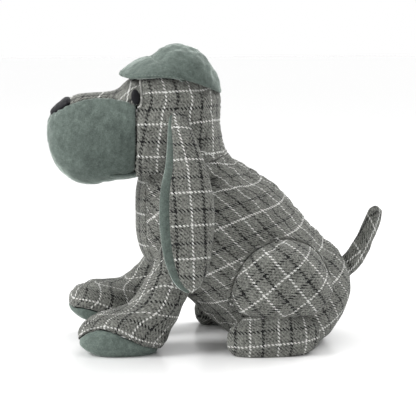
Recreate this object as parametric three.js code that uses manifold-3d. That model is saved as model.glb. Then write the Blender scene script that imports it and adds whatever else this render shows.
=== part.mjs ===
// A sitting plush dog with a flat cap, in millimetres.
// +Z is up, the dog looks along -Y, and its left side is +X. The origin is on the ground, at the middle of
// the dog's width and length. Each fabric cover is an open shell, and its stuffing is a solid of its own.
import * as THREE from "three";
import { mergeVertices } from "three/addons/utils/BufferGeometryUtils.js";
import Module from "manifold-3d";

const wasm = await Module();
wasm.setup();

// ---- Driving dimensions ----
const CLOTH = 1.8; // thickness of a fabric cover with its backing
const GAP = 0.4; // between pieces that touch
const PLAY = 0.8; // between pieces that turn in each other
const FAR = 1000; // reach of the blocks that cut pieces apart

const NECK = new THREE.Vector3(0, -34, 165); // where the head turns and nods
const NECK_TILT = THREE.MathUtils.degToRad(12); // the neck seam rises towards the back
const NECK_BALL = 33;
const NECK_ROOM = 8.5; // from the neck seam to each cover's edge

const SHOULDER = new THREE.Vector3(38, -46, 84); // where a foreleg swings
const SHOULDER_BALL = 21;
const RIGHT_LEG_RAISE = THREE.MathUtils.degToRad(12); // the right foreleg is held forward and up
const RIGHT_LEG_BACK = 8;

const TAIL = new THREE.Vector3(0, 116, 62); // where the tail wags
const TAIL_BALL = 10;

const EAR_HINGE = new THREE.Vector3(46.4, -40, 214); // where an ear lifts
const EAR_LEAN = THREE.MathUtils.degToRad(9.5); // the ear hangs outwards over the shoulder
const EAR_LAYER = 2.4; // the outside, the wadding and the lining each

// ---- Materials ----
const fabric = (color) => new THREE.MeshStandardMaterial({ color, roughness: 0.95, metalness: 0 });
const TWEED = fabric(0x82837f);
const SAGE = fabric(0x6f7c75);
const BLACK = new THREE.MeshStandardMaterial({ color: 0x1c1d20, roughness: 0.6, metalness: 0 });
const FILLING = fabric(0xf2f0ea);
const PELLETS = new THREE.MeshStandardMaterial({ color: 0xcfcac0, roughness: 0.5, metalness: 0 });
const THREAD = fabric(0xf5f5f0);

const dog = new THREE.Group();

// ---- Solids ----
function solid(geometry) {
  const bare = new THREE.BufferGeometry();
  const loose = geometry.index ? geometry.toNonIndexed() : geometry;
  bare.setAttribute("position", loose.getAttribute("position"));
  const merged = mergeVertices(bare, 1e-4);
  const vertProperties = new Float32Array(merged.getAttribute("position").array);
  const made = new wasm.Manifold(
    new wasm.Mesh({ numProp: 3, vertProperties, triVerts: new Uint32Array(merged.index.array) }),
  );
  if (made.volume() >= 0) return made;
  const turned = Uint32Array.from(merged.index.array).reverse();
  return new wasm.Manifold(new wasm.Mesh({ numProp: 3, vertProperties, triVerts: turned }));
}

// A named piece. Slivers that a cut leaves beside it are dropped.
function add(name, body, material) {
  const bodies = body.decompose().sort((a, b) => b.volume() - a.volume());
  const { vertProperties, triVerts, numProp } = bodies[0].getMesh();
  const geometry = new THREE.BufferGeometry();
  const position = new Float32Array((vertProperties.length / numProp) * 3);
  for (let i = 0; i < position.length; i += 1) {
    position[i] = vertProperties[Math.floor(i / 3) * numProp + (i % 3)];
  }
  geometry.setAttribute("position", new THREE.BufferAttribute(position, 3));
  geometry.setIndex(new THREE.BufferAttribute(new Uint32Array(triVerts), 1));
  geometry.computeVertexNormals();
  const mesh = new THREE.Mesh(geometry, material);
  mesh.name = name;
  dog.add(mesh);
}

// A closed body through a row of stations. A station is [place along the spine, ...sizes], and
// point(place, sizes, cos, sin) gives the surface at one angle around it. Both ends are flat.
function loft(stations, around, rings, point) {
  const first = stations[0][0];
  const last = stations[stations.length - 1][0];
  const between = new THREE.CubicInterpolant(
    stations.map((station) => station[0]),
    stations.flatMap((station) => station.slice(1)),
    stations[0].length - 1,
  );
  const body = new THREE.SphereGeometry(1, around, rings);
  const position = body.getAttribute("position");
  for (let i = 0; i < position.count; i += 1) {
    const row = Math.floor(i / (around + 1));
    const angle = ((i % (around + 1)) % around) * ((2 * Math.PI) / around);
    const share = THREE.MathUtils.clamp((row - 1) / (rings - 2), 0, 1);
    const place = THREE.MathUtils.lerp(first, last, share);
    const reach = row === 0 || row === rings ? 0 : 1;
    const sizes = between.evaluate(place);
    const at = point(place, sizes, reach * Math.cos(angle), reach * Math.sin(angle));
    position.setXYZ(i, at.x, at.y, at.z);
  }
  return solid(body);
}

// The squarer the section, the more it fills its box.
const fuller = (value, power) => Math.sign(value) * Math.abs(value) ** power;

// Level slices: [height, front, back, half width], all drawn in by inset.
function slices(stations, inset, around = 18, rings = 11) {
  const shrunk = stations.map(([z, front, back, half]) => [z, front + inset, back - inset, half - inset]);
  shrunk[0][0] += inset;
  shrunk[shrunk.length - 1][0] -= inset;
  return loft(shrunk, around, rings, (z, [front, back, half], cos, sin) => {
    const middle = (front + back) / 2;
    const length = (back - front) / 2;
    return new THREE.Vector3(half * fuller(sin, 0.9), middle + length * fuller(cos, 0.9), z);
  });
}

function block(x, y, z, sizeX, sizeY, sizeZ, turnX = 0) {
  const geometry = new THREE.BoxGeometry(sizeX, sizeY, sizeZ);
  geometry.rotateX(turnX);
  return solid(geometry.translate(x, y, z));
}

function ellipsoid(x, y, z, halfX, halfY, halfZ, turnX = 0, detail = 14) {
  const geometry = new THREE.SphereGeometry(1, detail, Math.round(detail / 2));
  geometry.scale(halfX, halfY, halfZ).rotateX(turnX);
  return solid(geometry.translate(x, y, z));
}

const ball = (centre, radius, detail = 14) =>
  ellipsoid(centre.x, centre.y, centre.z, radius, radius, radius, 0, detail);

// A copy turned about an axis through a point.
function turned(body, axis, angle, about) {
  const matrix = new THREE.Matrix4().makeTranslation(about.x, about.y, about.z);
  matrix.multiply(new THREE.Matrix4().makeRotationAxis(axis, angle));
  matrix.multiply(new THREE.Matrix4().makeTranslation(-about.x, -about.y, -about.z));
  return body.transform(matrix.elements);
}

const mirrored = (body) => body.mirror([1, 0, 0]);
const X_AXIS = new THREE.Vector3(1, 0, 0);
const Z_AXIS = new THREE.Vector3(0, 0, 1);
const SIDES = [
  ["left", 1, (body) => body],
  ["right", -1, mirrored],
];
const ORIGIN = new THREE.Vector3();

// Everything above (sign 1) or below (sign -1) a plane through a point of the middle plane.
function halfSpace(sign, y, z, tilt, distance) {
  const slab = block(0, 0, sign * (FAR / 2 + distance), FAR, FAR, FAR);
  return turned(slab, X_AXIS, tilt, ORIGIN).translate([0, y, z]);
}

// ---- Foreleg: a boot shape with its toe forwards, and a sage sole ----
// Stations down the leg: [height, front, back, half width].
const FORELEG = [
  [0, -119, -62, 19],
  [5, -127, -57, 22.5],
  [12, -130.5, -52.5, 24],
  [20, -129.5, -48.5, 24.5],
  [28, -124, -44.5, 24],
  [35, -112, -41.5, 23],
  [41, -93, -38.5, 22],
  [48, -83, -35, 21],
  [57, -76.5, -32.5, 20],
  [66, -71, -30, 19.5],
  [74, -66, -29, 19],
];
const SOLE_EDGE = [
  [-140, 12],
  [-130, 17],
  [-118, 24.5],
  [-103, 23.5],
  [-86, 15],
  [-70, 7.5],
  [-50, -1],
];

function forelegBody(inset) {
  const shaft = slices(FORELEG, inset, 12, 10).translate([SHOULDER.x, 0, 0]);
  return shaft.add(ball(SHOULDER, SHOULDER_BALL - inset));
}

const UNDER_GROUND = -10; // the sole's drawing reaches down to here

function soleBlock(grow) {
  const outline = new THREE.Shape();
  outline.moveTo(SOLE_EDGE[0][0], UNDER_GROUND);
  for (const [y, z] of SOLE_EDGE) outline.lineTo(y, z + grow);
  outline.lineTo(SOLE_EDGE[SOLE_EDGE.length - 1][0], UNDER_GROUND);
  outline.closePath();
  const extruded = new THREE.ExtrudeGeometry(outline, { depth: FAR, bevelEnabled: false });
  // the drawing's X and Y become the dog's Y and Z
  extruded.applyMatrix4(new THREE.Matrix4().makeBasis(new THREE.Vector3(0, 1, 0), Z_AXIS, X_AXIS));
  return solid(extruded.translate(-FAR / 2, 0, 0));
}

const LEG_OPEN = SHOULDER.z + 4; // the cover is open above this height, inside the body
const legTop = block(SHOULDER.x, SHOULDER.y, LEG_OPEN + FAR / 2, FAR, FAR, FAR);
const legOuter = forelegBody(0);
const legInner = forelegBody(CLOTH);
const legShell = legOuter.subtract(legInner).subtract(legTop);
const legParts = [
  ["sole", legShell.intersect(soleBlock(-GAP / 2)), SAGE],
  ["cover", legShell.subtract(soleBlock(GAP / 2)), TWEED],
  ["stuffing", forelegBody(CLOTH + GAP), FILLING],
];
const rightLeg = (body) =>
  turned(mirrored(body), X_AXIS, -RIGHT_LEG_RAISE, SHOULDER).translate([0, RIGHT_LEG_BACK, 0]);
for (const [part, body, material] of legParts) {
  add(`foreleg_left_${part}`, body, material);
  add(`foreleg_right_${part}`, rightLeg(body), material);
}

// The room that a leg needs in the body as it swings both ways: a ball at the shoulder, and all of the
// space below it from the leg's inner side outwards.
const LEG_INNER_SIDE = SHOULDER.x - 25.5;
const LEG_ROOM_BACK = SHOULDER.y + 24;
const LEG_ROOM = new THREE.Vector3(100, 150, 150); // width, length and height below the shoulder
const legRoom = ball(SHOULDER, SHOULDER_BALL + PLAY).add(
  block(
    LEG_INNER_SIDE + LEG_ROOM.x / 2,
    LEG_ROOM_BACK - LEG_ROOM.y / 2,
    SHOULDER.z - LEG_ROOM.z / 2,
    LEG_ROOM.x,
    LEG_ROOM.y,
    LEG_ROOM.z,
  ),
);

// ---- Tail ----
const TAIL_PATH = new THREE.CatmullRomCurve3([
  TAIL,
  new THREE.Vector3(0, 124.5, 69),
  new THREE.Vector3(0, 133, 82),
  new THREE.Vector3(0, 140.5, 98),
  new THREE.Vector3(0, 146, 112),
  new THREE.Vector3(0, 148, 120.5),
]);

function tailBody(inset) {
  const stations = [
    [0, 10],
    [0.3, 9.4],
    [0.6, 7.9],
    [0.85, 6.6],
    [0.97, 4.6],
    [1, 2.4],
  ];
  const shaft = loft(stations, 8, 9, (share, [size], cos, sin) => {
    const radius = size - inset;
    const centre = TAIL_PATH.getPoint(share);
    const along = TAIL_PATH.getTangent(share);
    const across = new THREE.Vector3().crossVectors(along, X_AXIS);
    return centre.addScaledVector(X_AXIS, radius * cos).addScaledVector(across, radius * sin);
  });
  return shaft.add(ball(TAIL, TAIL_BALL - inset, 10));
}

const TAIL_OPEN = TAIL.y - 3; // the cover is open in front of here, inside the body
const tailHole = block(0, TAIL_OPEN - FAR / 2, TAIL.z, FAR, FAR, FAR);
add("tail_cover", tailBody(0).subtract(tailBody(CLOTH)).subtract(tailHole), TWEED);
add("tail_stuffing", tailBody(CLOTH + GAP), FILLING);

const WAG_ROOM = 4; // round the tail's root
const tailRoom = ball(TAIL, TAIL_BALL + WAG_ROOM, 12);

// ---- Body ----
const BODY = [
  [0, 24, 91, 44],
  [7, 10, 100, 54],
  [20, -7, 110, 60],
  [42, -30, 119, 61],
  [60, -52, 120.5, 60],
  [80, -69, 111, 57],
  [100, -75, 91, 54],
  [118, -75.5, 73, 52],
  [134, -75.5, 52, 50],
  [146, -75, 31, 48],
  [158, -73, 13, 46],
  [172, -71, 4, 45],
  [190, -70, 2, 45],
];
const aboveNeck = halfSpace(1, NECK.y, NECK.z, NECK_TILT, -NECK_ROOM);
const socket = ball(NECK, NECK_BALL + 2 * PLAY, 16);
const openings = socket.add(aboveNeck).add(legRoom).add(rightLeg(legRoom)).add(tailRoom);
const bodySolid = (inset) => slices(BODY, inset, 20, 13);
const bodyShell = bodySolid(0).subtract(bodySolid(CLOTH)).subtract(openings);

// The gusset runs under the dog, from the throat to the tail.
const GUSSET_HALF = 24;
const GUSSET_TOP = 55; // its height at the tail
const GUSSET_BACK = -45; // how far back it reaches on the chest
function gussetBlock(grow) {
  const width = 2 * (GUSSET_HALF + grow);
  const under = block(0, 0, GUSSET_TOP - FAR / 2 + grow, width, FAR, FAR);
  const front = block(0, GUSSET_BACK - FAR / 2 + grow, 0, width, FAR, FAR);
  return under.add(front);
}
add("belly_gusset", bodyShell.intersect(gussetBlock(-GAP / 2)), TWEED);
for (const [side, sign] of SIDES) {
  const half = block((sign * (FAR + GAP)) / 2, 0, 0, FAR, FAR, FAR);
  add(`body_${side}`, bodyShell.subtract(gussetBlock(GAP / 2)).intersect(half), TWEED);
}

// The bag of pellets in the seat keeps the dog upright.
const pelletBag = (grow) => ellipsoid(0, 56, 18, 36 + grow, 32 + grow, 24 + grow);
const bodyFloor = block(0, 0, CLOTH + GAP - FAR / 2, FAR, FAR, FAR);
add("pellet_bag", pelletBag(0).subtract(bodyFloor), PELLETS);
add("body_stuffing", bodySolid(CLOTH + GAP).subtract(openings).subtract(pelletBag(GAP)), FILLING);

// ---- Hind legs: a thigh pad on the flank, and a long foot flat on the ground ----
const HIND_FOOT = [
  [0, 5, 70, 13],
  [6, 1, 76.5, 15.5],
  [12, -1, 80, 16.5],
  [20, 0.5, 80, 16.5],
  [26.5, 5.5, 74.5, 14.5],
  [32.5, 15, 63, 10],
];
const FOOT_OUT = 63; // distance of a hind foot from the middle
const RIGHT_FOOT_FORWARD = 12;

function thighBody(inset) {
  return ellipsoid(56, 52, 68, 24 - inset, 51 - inset, 34.5 - inset, THREE.MathUtils.degToRad(-6), 16);
}

const bodyClear = bodySolid(-GAP);
for (const [side, , place] of SIDES) {
  const forward = side === "right" ? RIGHT_FOOT_FORWARD : 0;
  const foot = (inset) => place(slices(HIND_FOOT, inset, 14, 8).translate([FOOT_OUT, -forward, 0]));
  const thigh = (inset) => place(thighBody(inset));
  const clear = bodyClear.add(foot(-GAP));
  add(`thigh_${side}_cover`, thigh(0).subtract(thigh(CLOTH)).subtract(clear), TWEED);
  add(`thigh_${side}_stuffing`, thigh(CLOTH + GAP).subtract(clear), FILLING);
  add(`hind_foot_${side}_cover`, foot(0).subtract(foot(CLOTH)).subtract(bodyClear), TWEED);
  add(`hind_foot_${side}_stuffing`, foot(CLOTH + GAP).subtract(bodyClear), FILLING);
}

// ---- Neck: the ball of stuffing that the head turns on, and the thread round its seam ----
const THREAD_RADIUS = 0.5;
const THREAD_LOOP = NECK_BALL + 1.2;
const THREAD_STEPS = 24;
const loop = new THREE.CatmullRomCurve3(
  Array.from({ length: THREAD_STEPS }, (_, i) => {
    const angle = (i * 2 * Math.PI) / THREAD_STEPS;
    return new THREE.Vector3(Math.cos(angle), Math.sin(angle), 0).multiplyScalar(THREAD_LOOP);
  }),
  true,
);

function threadLoop(radius) {
  const section = new THREE.Shape().absarc(0, 0, radius, 0, 2 * Math.PI);
  const options = { steps: THREAD_STEPS, extrudePath: loop, curveSegments: 4 };
  const tube = new THREE.ExtrudeGeometry(section, options);
  return solid(tube.rotateX(NECK_TILT).translate(NECK.x, NECK.y, NECK.z));
}

add("neck_stuffing", ball(NECK, NECK_BALL, 16), FILLING);
add("neck_thread", threadLoop(THREAD_RADIUS), THREAD);

// ---- Head ----
const SKULL = [
  [140, -71, 9, 44],
  [155, -72, 6, 45],
  [170, -74, 3, 46],
  [190, -77, 1, 46.5],
  [215, -80, 1, 46.5],
  [230, -81, 0.5, 45],
  [240, -77, -4, 41],
  [248, -69, -12, 33],
  [253, -59, -23, 21],
  [256.5, -50, -32, 9],
];
const MUZZLE_SEAM = -79; // where the muzzle panels meet the head's side panels
// Stations along the muzzle: [place, bottom, top, half width].
const MUZZLE = [
  [-153.3, 184, 200, 10],
  [-150.6, 174, 208, 20],
  [-147, 166, 212, 26],
  [-139, 156, 220, 31],
  [-128, 148.5, 226, 35],
  [-114, 146.5, 227.5, 38.5],
  [-100, 149.5, 228.5, 41],
  [-85, 152.5, 231, 42.5],
  [-60, 158, 231, 41],
];

function muzzleBody(inset) {
  const shrunk = MUZZLE.map(([y, low, high, half]) => [y, low + inset, high - inset, half - inset]);
  shrunk[0][0] += inset;
  return loft(shrunk, 18, 10, (y, [low, high, half], cos, sin) => {
    const rise = ((high - low) / 2) * fuller(cos, 0.85);
    return new THREE.Vector3(half * fuller(sin, 0.85), y, (high + low) / 2 + rise);
  });
}

const headBody = (inset) => slices(SKULL, inset).add(muzzleBody(inset));
const frontOf = (y) => block(0, y - FAR / 2, 0, FAR, FAR, FAR);
const belowNeck = halfSpace(-1, NECK.y, NECK.z, NECK_TILT, -NECK_ROOM).subtract(frontOf(MUZZLE_SEAM));
const headClear = headBody(-GAP);

const EYE = new THREE.Vector3(42.5, -78, 226);
const eyeBall = (grow) => ellipsoid(EYE.x, EYE.y, EYE.z, 4 + grow, 5.5 + grow, 8 + grow, 0, 10);
const eyes = eyeBall(0).add(mirrored(eyeBall(0)));
const eyeRoom = eyeBall(GAP).add(mirrored(eyeBall(GAP)));

const headRoom = belowNeck.add(socket).add(eyeRoom);
const headShell = headBody(0).subtract(headBody(CLOTH)).subtract(headRoom);
const CROWN_HALF = 18; // half width of the strip from the nose over the head
const CROWN_LOW = 205; // the strip's height at the nose
const NAPE_FRONT = -20; // the strip covers the middle of the head's back from here
const CHIN_TOP = 156;
const CHIN_HALF = 30;
const CHIN_FRONT = -92;
const CHIN_BACK = -8;
const crownStrip = (grow) => block(0, 0, CROWN_LOW + FAR / 2 - grow, 2 * (CROWN_HALF + grow), FAR, FAR);
const napeStrip = (grow) => block(0, NAPE_FRONT + FAR / 2 - grow, 0, 2 * (CROWN_HALF + grow), FAR, FAR);
const muzzleBlock = (grow) => frontOf(MUZZLE_SEAM + grow);
function chinBlock(grow) {
  const middle = (CHIN_FRONT + CHIN_BACK) / 2;
  const length = CHIN_BACK - CHIN_FRONT + 2 * grow;
  return block(0, middle, CHIN_TOP - FAR / 2 + grow, 2 * (CHIN_HALF + grow), length, FAR);
}
const strip = (grow) => crownStrip(grow).add(napeStrip(grow));
const half = GAP / 2;

add("head_gusset", headShell.intersect(strip(-half)), TWEED);
add("chin", headShell.intersect(chinBlock(-half)).subtract(strip(half)), SAGE);
for (const [side, sign] of SIDES) {
  const panel = headShell
    .subtract(strip(half))
    .subtract(chinBlock(half))
    .intersect(block((sign * (FAR + GAP)) / 2, 0, 0, FAR, FAR, FAR));
  add(`muzzle_${side}`, panel.intersect(muzzleBlock(-half)), SAGE);
  add(`head_${side}`, panel.subtract(muzzleBlock(half)), TWEED);
  add(`eye_${side}`, eyes.intersect(block((sign * FAR) / 2, 0, 0, FAR, FAR, FAR)), BLACK);
}
add("head_stuffing", headBody(CLOTH + GAP).subtract(headRoom), FILLING);
const nose = ellipsoid(0, -140, 214.5, 17, 7, 12.5, THREE.MathUtils.degToRad(-45), 16);
add("nose", nose.subtract(headClear), BLACK);

// ---- Cap: a soft crown drawn forwards over a short peak ----
const CAP = [
  [224, -86, 2.5, 48],
  [240, -87.5, 2, 50],
  [248, -87, -2, 49.5],
  [255, -80, -8, 45],
  [262, -66, -15, 37],
  [268, -51, -25, 23],
  [270.5, -43, -33, 11],
];
const CAP_TILT = THREE.MathUtils.degToRad(-10); // its edge is lower at the back
const CAP_EDGE = new THREE.Vector3(0, -42, 235); // the middle of the cap's lower edge
const BRIM_DEPTH = 8;
const BRIM_BACK = -46; // the peak ends here, at the temples
const BAND = [
  [224, -89, 3.5, 48.5],
  [236, -90.5, 4, 51.5],
  [252, -90, 3.5, 52],
];
const capBody = (inset) => slices(CAP, inset, 18, 9);
const aboveEdge = (height) => halfSpace(1, CAP_EDGE.y, CAP_EDGE.z, CAP_TILT, height);
const belowEdge = (height) => halfSpace(-1, CAP_EDGE.y, CAP_EDGE.z, CAP_TILT, -height);
const band = slices(BAND, 0, 18, 5)
  .subtract(belowEdge(0))
  .subtract(aboveEdge(BRIM_DEPTH - GAP))
  .subtract(headClear)
  .subtract(capBody(CLOTH));
add("cap_crown", capBody(0).subtract(capBody(CLOTH)).subtract(belowEdge(BRIM_DEPTH)), SAGE);
add("cap_stuffing", capBody(CLOTH + GAP).subtract(headClear).subtract(belowEdge(GAP)), FILLING);
add("cap_brim", band.intersect(frontOf(BRIM_BACK)), SAGE);
add("cap_band", band.subtract(frontOf(BRIM_BACK + GAP)), SAGE);

// ---- Ears: tweed outside, wadding and a sage lining, hanging from the head ----
// The outline is in the ear's own plane, below its hinge: [towards the back, up].
const EAR_FRONT = [
  [-10.5, -9],
  [-12.5, -26],
  [-15, -48],
  [-19.5, -68],
  [-21, -88],
  [-19, -120],
  [-14, -140],
  [-3, -154],
];
const EAR_REAR = [
  [6, -157],
  [13.5, -151],
  [20.5, -137],
  [25, -115],
  [27, -93],
  [25.5, -70],
  [20, -46],
  [12.5, -24],
  [7, -10],
];
const EAR_TOP = [
  [2.5, -2],
  [-6, -2.5],
];

function earLayer(inner, shrink) {
  const outline = new THREE.Shape();
  const top = EAR_TOP.map(([y, z]) => new THREE.Vector2(y, z - shrink));
  outline.moveTo(top[1].x, top[1].y);
  outline.splineThru(EAR_FRONT.map(([y, z]) => new THREE.Vector2(y + shrink, z)));
  outline.splineThru(EAR_REAR.map(([y, z]) => new THREE.Vector2(y - shrink, z + shrink)));
  outline.splineThru(top);
  const layer = new THREE.ExtrudeGeometry(outline, {
    depth: EAR_LAYER,
    bevelEnabled: false,
    curveSegments: 2,
  });
  layer.applyMatrix4(new THREE.Matrix4().makeBasis(new THREE.Vector3(0, 1, 0), Z_AXIS, X_AXIS));
  const lean = new THREE.Matrix4().makeRotationY(-EAR_LEAN);
  layer.translate(inner, 0, 0).applyMatrix4(lean);
  return solid(layer.translate(EAR_HINGE.x, EAR_HINGE.y, EAR_HINGE.z));
}

const EAR_PARTS = [
  ["lining", 0, 0, SAGE],
  ["wadding", EAR_LAYER + GAP, 2, FILLING],
  ["outside", 2 * (EAR_LAYER + GAP), 0, TWEED],
];
for (const [side, , place] of SIDES) {
  for (const [part, inner, shrink, material] of EAR_PARTS) {
    add(`ear_${side}_${part}`, place(earLayer(inner, shrink)), material);
  }
}

export default dog;
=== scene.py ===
# The visual model of the plush dog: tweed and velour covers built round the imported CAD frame, in metres.
# The dog looks along -Y and its left side is +X. Tables of stations are in millimetres, as in the CAD.
import bpy
import math
import numpy as np
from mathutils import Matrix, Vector


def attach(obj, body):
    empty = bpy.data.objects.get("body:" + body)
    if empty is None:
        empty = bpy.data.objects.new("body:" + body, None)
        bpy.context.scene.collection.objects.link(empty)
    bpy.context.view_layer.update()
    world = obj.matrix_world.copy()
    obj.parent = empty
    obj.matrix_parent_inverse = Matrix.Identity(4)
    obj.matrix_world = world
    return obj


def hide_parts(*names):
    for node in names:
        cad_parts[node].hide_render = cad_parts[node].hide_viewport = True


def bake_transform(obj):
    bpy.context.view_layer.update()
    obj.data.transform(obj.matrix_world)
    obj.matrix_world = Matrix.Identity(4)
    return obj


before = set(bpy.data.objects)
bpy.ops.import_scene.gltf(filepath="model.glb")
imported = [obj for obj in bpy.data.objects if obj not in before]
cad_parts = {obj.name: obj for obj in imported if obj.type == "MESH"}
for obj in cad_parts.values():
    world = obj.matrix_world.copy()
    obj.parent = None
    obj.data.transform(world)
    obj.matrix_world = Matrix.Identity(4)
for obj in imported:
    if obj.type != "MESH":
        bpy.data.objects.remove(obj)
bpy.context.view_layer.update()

MM = 0.001
CLOTH = 1.6  # thickness of a cover
NECK_TILT = math.radians(12)  # the neck seam rises towards the back
TILT = math.tan(NECK_TILT)
NECK = np.array([0.0, -34.0, 165.0])
X_AXIS = np.array([1.0, 0.0, 0.0])


# ---- Camera, light and floor ----
CAMERA_AZIMUTH = math.radians(82)
CAMERA_HEIGHT = math.radians(8.5)
CAMERA_DISTANCE = 1.3
CAMERA_AIM = Vector((0, -0.0095, 0.122))
LENS = 123.6
LAMP_SIZE = 0.7
DOG_MIDDLE = Vector((0, 0, 0.12))
DIMMING = (("Z", 0.25, 0.75, 0.55), ("X", -0.1, 0.9, 0.8))  # towards an axis: start, end, strength left


def make_camera():
    data = bpy.data.cameras.new("camera")
    data.lens = LENS
    data.sensor_width = 36
    data.clip_end = 20
    camera = bpy.data.objects.new("camera", data)
    level = math.cos(CAMERA_HEIGHT)
    sideways, ahead = math.sin(CAMERA_AZIMUTH) * level, -math.cos(CAMERA_AZIMUTH) * level
    way = Vector((sideways, ahead, math.sin(CAMERA_HEIGHT)))
    camera.location = CAMERA_AIM + CAMERA_DISTANCE * way
    camera.rotation_euler = (-way).to_track_quat("-Z", "Y").to_euler()
    bpy.context.collection.objects.link(camera)
    bpy.context.scene.camera = camera


def area_light(name, place, power):
    data = bpy.data.lights.new(name, "AREA")
    data.shape = "DISK"
    data.size = LAMP_SIZE
    data.energy = power
    light = bpy.data.objects.new(name, data)
    light.location = place
    light.rotation_euler = (DOG_MIDDLE - Vector(place)).to_track_quat("-Z", "Y").to_euler()
    bpy.context.collection.objects.link(light)


def make_world():
    """The studio is white all round near the floor, and dimmer overhead and on the dog's left."""
    world = bpy.data.worlds.new("studio")
    world.use_nodes = True
    nodes, links = world.node_tree.nodes, world.node_tree.links
    place = nodes.new("ShaderNodeTexCoord")
    parts = nodes.new("ShaderNodeSeparateXYZ")
    links.new(place.outputs["Generated"], parts.inputs[0])
    level = nodes.new("ShaderNodeMath")
    level.operation = "MULTIPLY"
    for socket, (axis, start, end, least) in zip(level.inputs, DIMMING):
        dimmer = nodes.new("ShaderNodeMapRange")
        dimmer.interpolation_type = "SMOOTHSTEP"
        dimmer.inputs["From Min"].default_value = start
        dimmer.inputs["From Max"].default_value = end
        dimmer.inputs["To Min"].default_value = 1.0
        dimmer.inputs["To Max"].default_value = least
        links.new(parts.outputs[axis], dimmer.inputs["Value"])
        links.new(dimmer.outputs["Result"], socket)
    background = nodes["Background"]
    background.inputs["Color"].default_value = (1, 1, 1, 1)
    links.new(level.outputs[0], background.inputs["Strength"])
    bpy.context.scene.world = world
    bpy.context.scene.view_settings.view_transform = "Standard"


def make_lights():
    area_light("key", (0.2, -1.3, 1.0), 20)
    area_light("rim", (-0.6, 1.0, 0.9), 8)
    data = bpy.data.lights.new("sky", "SUN")
    data.energy = 1.35
    data.angle = math.radians(50)
    sky = bpy.data.objects.new("sky", data)
    sky.rotation_euler = (math.radians(-14), math.radians(-8), 0)
    bpy.context.collection.objects.link(sky)


def make_floor():
    bpy.ops.mesh.primitive_plane_add(size=12)
    floor = bpy.context.object
    floor.name = "floor"
    material = bpy.data.materials.new("pale_floor")
    material.use_nodes = True
    shader = material.node_tree.nodes["Principled BSDF"]
    shader.inputs["Base Color"].default_value = (0.93, 0.93, 0.93, 1)
    shader.inputs["Roughness"].default_value = 0.25
    floor.data.materials.append(material)


make_camera()
make_world()
make_lights()
make_floor()


# ---- Materials ----
class Nodes:
    """Short names for building a node tree."""

    def __init__(self, name):
        self.material = bpy.data.materials.new(name)
        self.material.use_nodes = True
        self.tree = self.material.node_tree
        self.shader = self.tree.nodes["Principled BSDF"]

    def put(self, socket, value):
        if isinstance(value, bpy.types.NodeSocket):
            self.tree.links.new(value, socket)
        else:
            socket.default_value = value

    def math(self, operation, a, b=0.0):
        node = self.tree.nodes.new("ShaderNodeMath")
        node.operation = operation
        self.put(node.inputs[0], a)
        self.put(node.inputs[1], b)
        return node.outputs[0]

    def plus(self, a, b):
        return self.math("ADD", a, b)

    def times(self, a, b):
        return self.math("MULTIPLY", a, b)

    def total(self, *parts):
        """The sum of pairs of a value and its weight."""
        values = [self.times(value, weight) for value, weight in parts]
        total = values[0]
        for value in values[1:]:
            total = self.plus(total, value)
        return total

    def mix(self, share, a, b, blend="MIX"):
        node = self.tree.nodes.new("ShaderNodeMix")
        node.data_type = "RGBA"
        node.blend_type = blend
        self.put(node.inputs[0], share)
        self.put(node.inputs[6], a)
        self.put(node.inputs[7], b)
        return node.outputs[2]

    def shaded(self, color, shade):
        return self.mix(1.0, color, self.vector(shade, shade, shade), "MULTIPLY")

    def cloth_place(self):
        """The fabric's own coordinates in millimetres: across and along."""
        uv = self.tree.nodes.new("ShaderNodeUVMap")
        uv.uv_map = "cloth"
        parts = self.tree.nodes.new("ShaderNodeSeparateXYZ")
        self.put(parts.inputs[0], uv.outputs[0])
        return self.times(parts.outputs[0], 1000), self.times(parts.outputs[1], 1000)

    def vector(self, x, y, z=0.0):
        node = self.tree.nodes.new("ShaderNodeCombineXYZ")
        for socket, value in zip(node.inputs, (x, y, z)):
            self.put(socket, value)
        return node.outputs[0]

    def noise(self, vector, scale, detail=3.0, rough=0.6):
        node = self.tree.nodes.new("ShaderNodeTexNoise")
        self.put(node.inputs["Vector"], vector)
        node.inputs["Scale"].default_value = scale
        node.inputs["Detail"].default_value = detail
        node.inputs["Roughness"].default_value = rough
        return node.outputs[0]

    def random(self, vector):
        node = self.tree.nodes.new("ShaderNodeTexWhiteNoise")
        self.put(node.inputs["Vector"], vector)
        return node.outputs[0]

    def place(self):
        return self.tree.nodes.new("ShaderNodeTexCoord").outputs["Object"]

    def ramp(self, value, low, high, to_low=0.0, to_high=1.0):
        node = self.tree.nodes.new("ShaderNodeMapRange")
        for socket, number in zip(node.inputs, (value, low, high, to_low, to_high)):
            self.put(socket, number)
        return node.outputs[0]

    def bump(self, height, distance, strength, below=None):
        node = self.tree.nodes.new("ShaderNodeBump")
        self.put(node.inputs["Height"], height)
        node.inputs["Distance"].default_value = distance
        node.inputs["Strength"].default_value = strength
        if below is not None:
            self.put(node.inputs["Normal"], below)
        return node.outputs[0]

    def surface(self, color, roughness, normal, fixed):
        """Sets the shader's colour, roughness and normal, and its fixed values by socket name."""
        linked = {"Base Color": color, "Roughness": roughness, "Normal": normal}
        for socket, value in {**linked, **fixed}.items():
            self.put(self.shader.inputs[socket], value)
        return self.material


YARN = 0.84  # millimetres between yarns
CHECK = (30, 34)  # yarns in one repeat of the windowpane check, across and along
WHITE_AT = (3, 5)  # the first yarn of the white line in a repeat, across and along
BLACK_AT = (16, 20)
WHITE_YARNS = 2
BLACK_YARNS = 3
DARK_WOOL = (0.008, 0.008, 0.007, 1)
PALE_WOOL = (0.37, 0.378, 0.342, 1)
DEEP_SAGE = (0.055, 0.071, 0.063)
PALE_SAGE = (0.142, 0.176, 0.157)


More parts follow.
